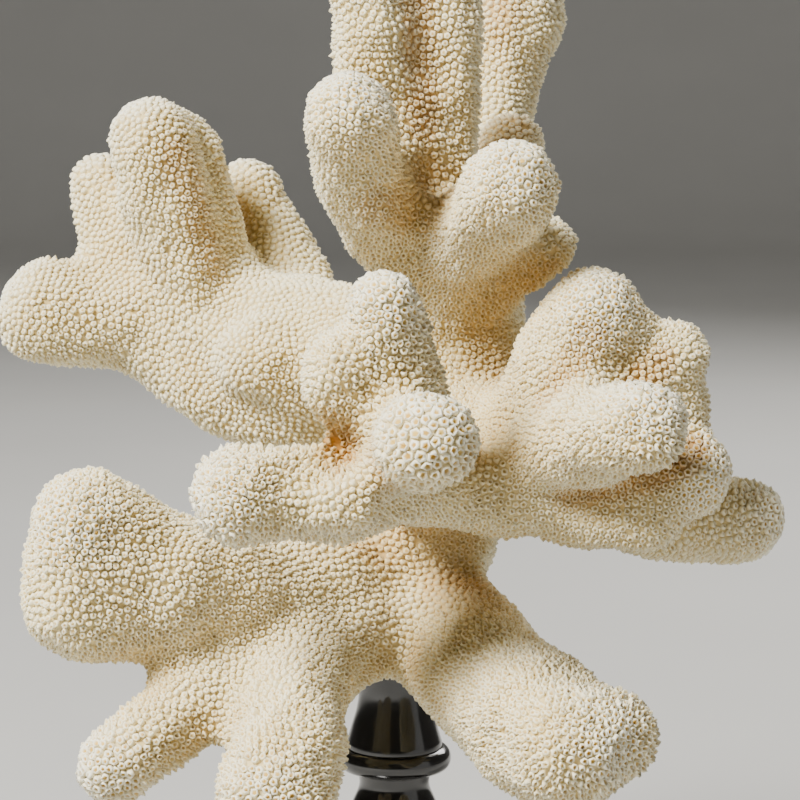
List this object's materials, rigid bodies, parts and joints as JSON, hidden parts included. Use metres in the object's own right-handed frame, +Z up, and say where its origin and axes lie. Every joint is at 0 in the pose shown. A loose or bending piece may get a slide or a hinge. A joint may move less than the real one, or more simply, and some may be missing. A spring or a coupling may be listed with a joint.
{
  "type": "branching coral on a turned stand",
  "caption": "Bleached branching coral with blunt, lumpy lobes, cut flat at its foot and standing on a black turned post with a round base.",
  "frame": {"origin": "centre of the stand's flat underside, on the surface it stands on", "axes": "+Z up along the stand's post; -Y towards the viewer, +X to the viewer's right"},
  "size_m": [0.14, 0.1483, 0.2148],
  "materials": {
    "coral": "matt, porous, cream white",
    "stand": "gloss black lacquer"
  },
  "bodies": {
    "root": {"trunk": "coral", "front_stem": "coral", "front_branch": "coral", "front_upper_lobe": "coral", "front_blunt_lobe": "coral", "right_branch": "coral", "right_far_lobe": "coral", "crown_stem": "coral", "crown_left_lobe": "coral", "crown_centre_lobe": "coral", "crown_right_lobe": "coral", "crown_front_lobe": "coral", "left_branch": "coral", "left_far_lobe": "coral", "left_upper_lobes": "coral", "lower_left_branch": "coral", "lower_left_finger": "coral", "lower_front_finger": "coral", "lower_right_branch": "coral", "back_upper_branch": "coral", "back_right_branch": "coral", "back_low_branch": "coral", "stand_post": "stand", "stand_base": "stand"}
  },
  "joints": []
}
